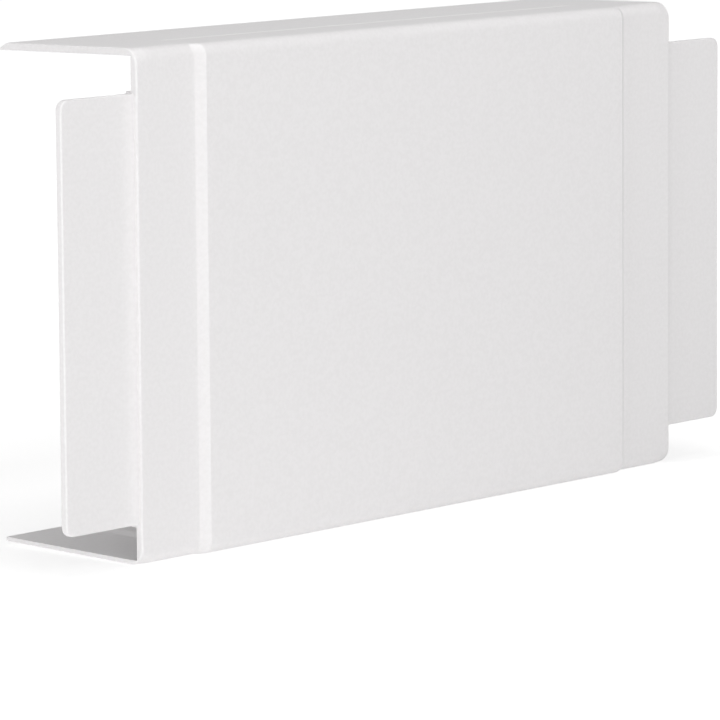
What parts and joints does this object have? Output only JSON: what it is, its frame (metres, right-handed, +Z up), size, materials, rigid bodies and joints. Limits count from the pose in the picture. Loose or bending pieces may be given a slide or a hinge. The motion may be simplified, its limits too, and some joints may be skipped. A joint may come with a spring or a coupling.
{
  "type": "trunking tee fitting",
  "caption": "Moulded hood that covers a tee in wall trunking: raised front panel, a collar at each end, side walls and flat tongues that slip under the trunking lids.",
  "frame": {"origin": "middle of the underside of the bounding box, with the hood standing on its lower side wall", "axes": "+X along the straight trunking, +Y from the room to the wall that the hood is fitted on, +Z up towards the branch side"},
  "size_m": [0.2254, 0.045, 0.1135],
  "materials": {
    "hood_plastic": "satin as moulded, opaque white"
  },
  "bodies": {
    "root": {"tee_hood": "hood_plastic"}
  },
  "joints": []
}
